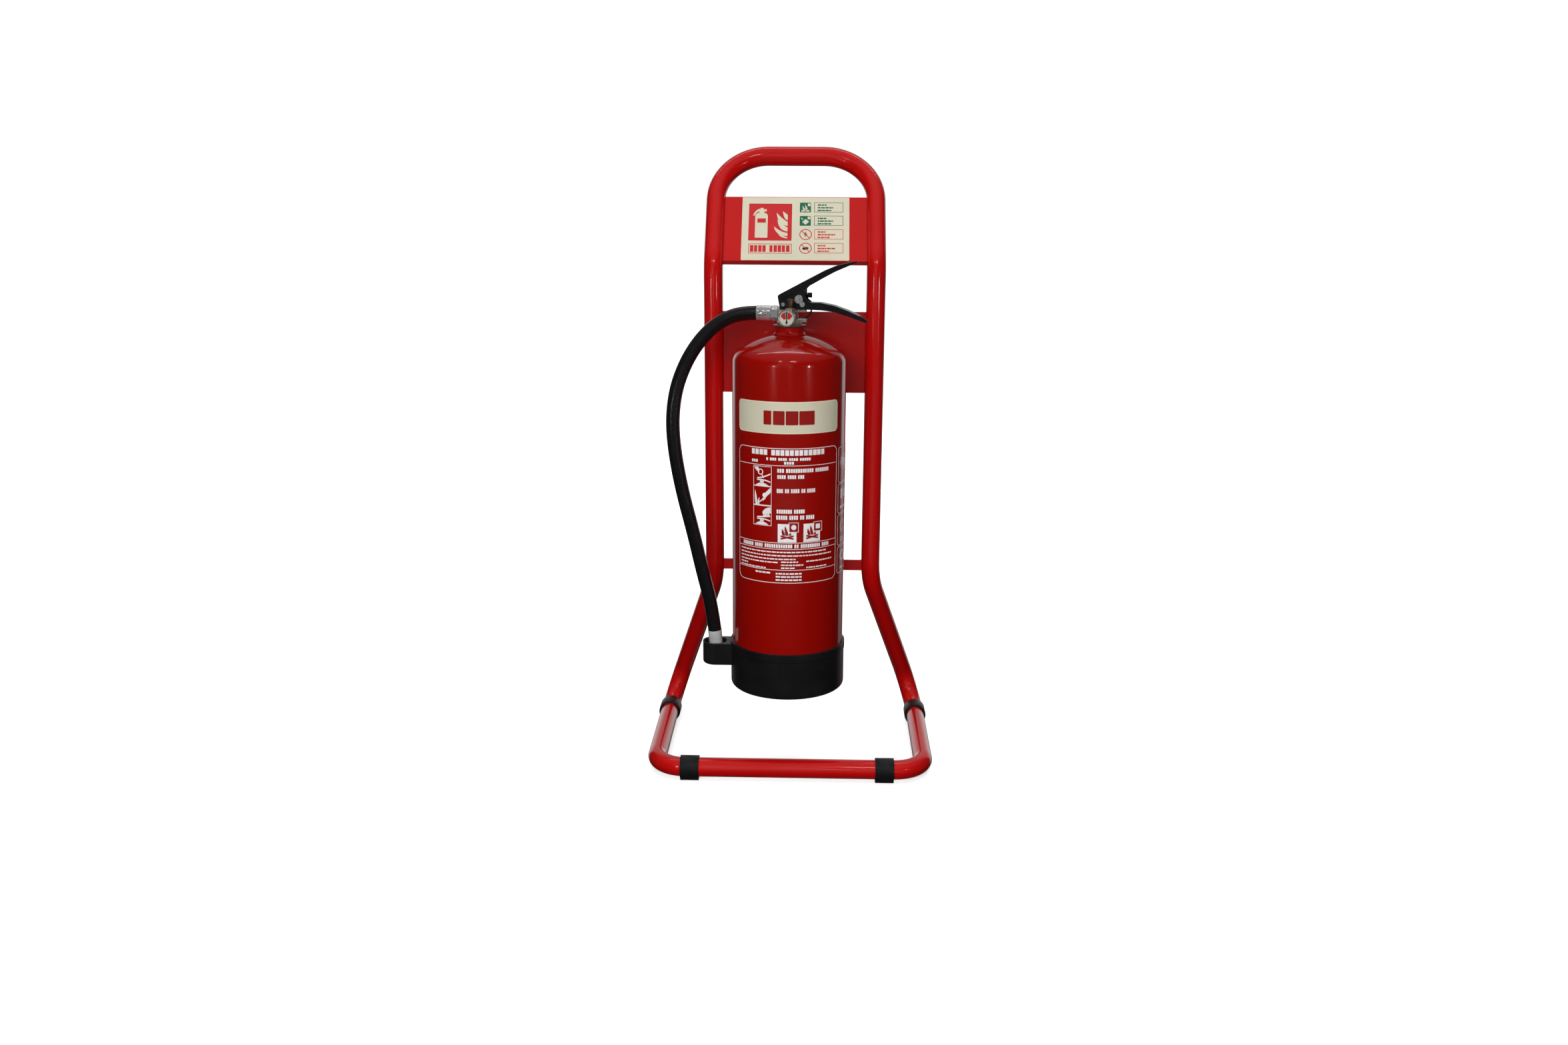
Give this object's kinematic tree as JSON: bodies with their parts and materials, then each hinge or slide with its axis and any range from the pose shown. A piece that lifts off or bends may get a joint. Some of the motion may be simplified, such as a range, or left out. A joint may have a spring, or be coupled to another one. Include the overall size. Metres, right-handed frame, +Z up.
{
  "type": "portable fire extinguisher on a stand",
  "caption": "Red foam fire extinguisher with hose and gauge, hanging by its valve on a free-standing tubular stand with a leaning sign.",
  "frame": {"origin": "middle of the outer box's footprint, on the floor", "axes": "+Z up, +Y to the back where the sign leans, +X to the right as the labels are read"},
  "size_m": [0.4308, 0.3192, 0.9004],
  "materials": {
    "stand_paint": "gloss",
    "shell_paint": "gloss",
    "cup_plastic": "satin",
    "foot_rubber": "matte",
    "label_vinyl": "satin",
    "instruction_vinyl": "satin",
    "valve_nickel": "satin",
    "zinc_steel": "satin",
    "lever_enamel": "satin",
    "hose_rubber": "satin",
    "cap_brass": "aged",
    "gauge_glass": "clear",
    "dial_face": "satin",
    "needle_black": "matte",
    "seal_rubber": "matte",
    "siphon_plastic": "satin",
    "tie_plastic": "gloss"
  },
  "bodies": {
    "stand": {"top_loop": "stand_paint", "base_loop": "stand_paint", "left_leg": "stand_paint", "right_leg": "stand_paint", "front_feet": "foot_rubber", "rear_feet": "foot_rubber", "back_plate": "stand_paint", "crossbar": "stand_paint", "sign_plate": "stand_paint", "sign_sticker": "label_vinyl", "hook_bracket": "stand_paint", "bracket_bolts": "zinc_steel", "bracket_washers": "zinc_steel", "bracket_nuts": "zinc_steel"},
    "extinguisher": {"cylinder_shell": "shell_paint", "neck_collar": "shell_paint", "base_cup": "cup_plastic", "nozzle_holder": "cup_plastic", "band_label": "label_vinyl", "instruction_label": "instruction_vinyl", "side_label": "instruction_vinyl", "valve_body": "valve_nickel", "hanger_plate": "zinc_steel", "neck_seal": "seal_rubber", "siphon_tube": "siphon_plastic", "siphon_strainer": "siphon_plastic", "stem_spring": "zinc_steel", "gauge_case": "valve_nickel", "gauge_dial": "dial_face", "gauge_lens": "gauge_glass", "test_port": "valve_nickel", "port_cap": "cap_brass", "carry_handle": "lever_enamel", "pivot_rivet": "zinc_steel", "handle_rivet": "zinc_steel", "pin_bush": "zinc_steel", "hose_nut": "zinc_steel", "hose_ferrule": "zinc_steel", "hose": "hose_rubber"},
    "lever": {"operating_lever": "lever_enamel"},
    "stem": {"valve_stem": "cap_brass", "stem_seal": "seal_rubber"},
    "needle": {"gauge_needle": "needle_black"},
    "pin": {"safety_pin": "zinc_steel", "tamper_seal": "tie_plastic"},
    "ring": {"pull_ring": "tie_plastic"},
    "nozzle_end": {"nozzle_ferrule": "zinc_steel", "nozzle": "cup_plastic"}
  },
  "joints": [
    {"name": "extinguisher_lift", "type": "slide", "parent": "stand", "child": "extinguisher", "axis": [0, 0, 1], "range_m": [0, 0.008]},
    {"name": "lever_squeeze", "type": "hinge", "parent": "extinguisher", "child": "lever", "pos_m": [-0.01255, -0.07554, 0.6812], "axis": [0.1132, 0.9936, 0], "range_deg": [0, 14], "stiffness_Nm_per_rad": 0.8, "springref_deg": -11.46},
    {"name": "stem_press", "type": "slide", "parent": "extinguisher", "child": "stem", "axis": [0, 0, -1], "range_m": [0, 0.0034], "stiffness_N_per_m": 300, "springref_m": -0.004, "deforming": ["stem_spring"]},
    {"name": "needle_swing", "type": "hinge", "parent": "extinguisher", "child": "needle", "pos_m": [-0.00864, -0.10839, 0.6585], "axis": [0.1132, 0.9936, 0], "range_deg": [-42, 42], "stiffness_Nm_per_rad": 0.002},
    {"name": "pin_pull", "type": "slide", "parent": "extinguisher", "child": "pin", "axis": [0.1132, 0.9936, 0], "range_m": [0, 0.03]},
    {"name": "ring_swing", "type": "hinge", "parent": "pin", "child": "ring", "pos_m": [0.01126, -0.05913, 0.6886], "axis": [0.9936, -0.1132, 0], "range_deg": [-5, 80]},
    {"name": "nozzle_lift", "type": "slide", "parent": "extinguisher", "child": "nozzle_end", "axis": [0, 0, 1], "range_m": [0, 0.05], "deforming": ["hose"]}
  ],
  "couplings": [
    {"joint": "stem_press", "follows": "lever_squeeze", "m_per_rad": 0.0132}
  ]
}
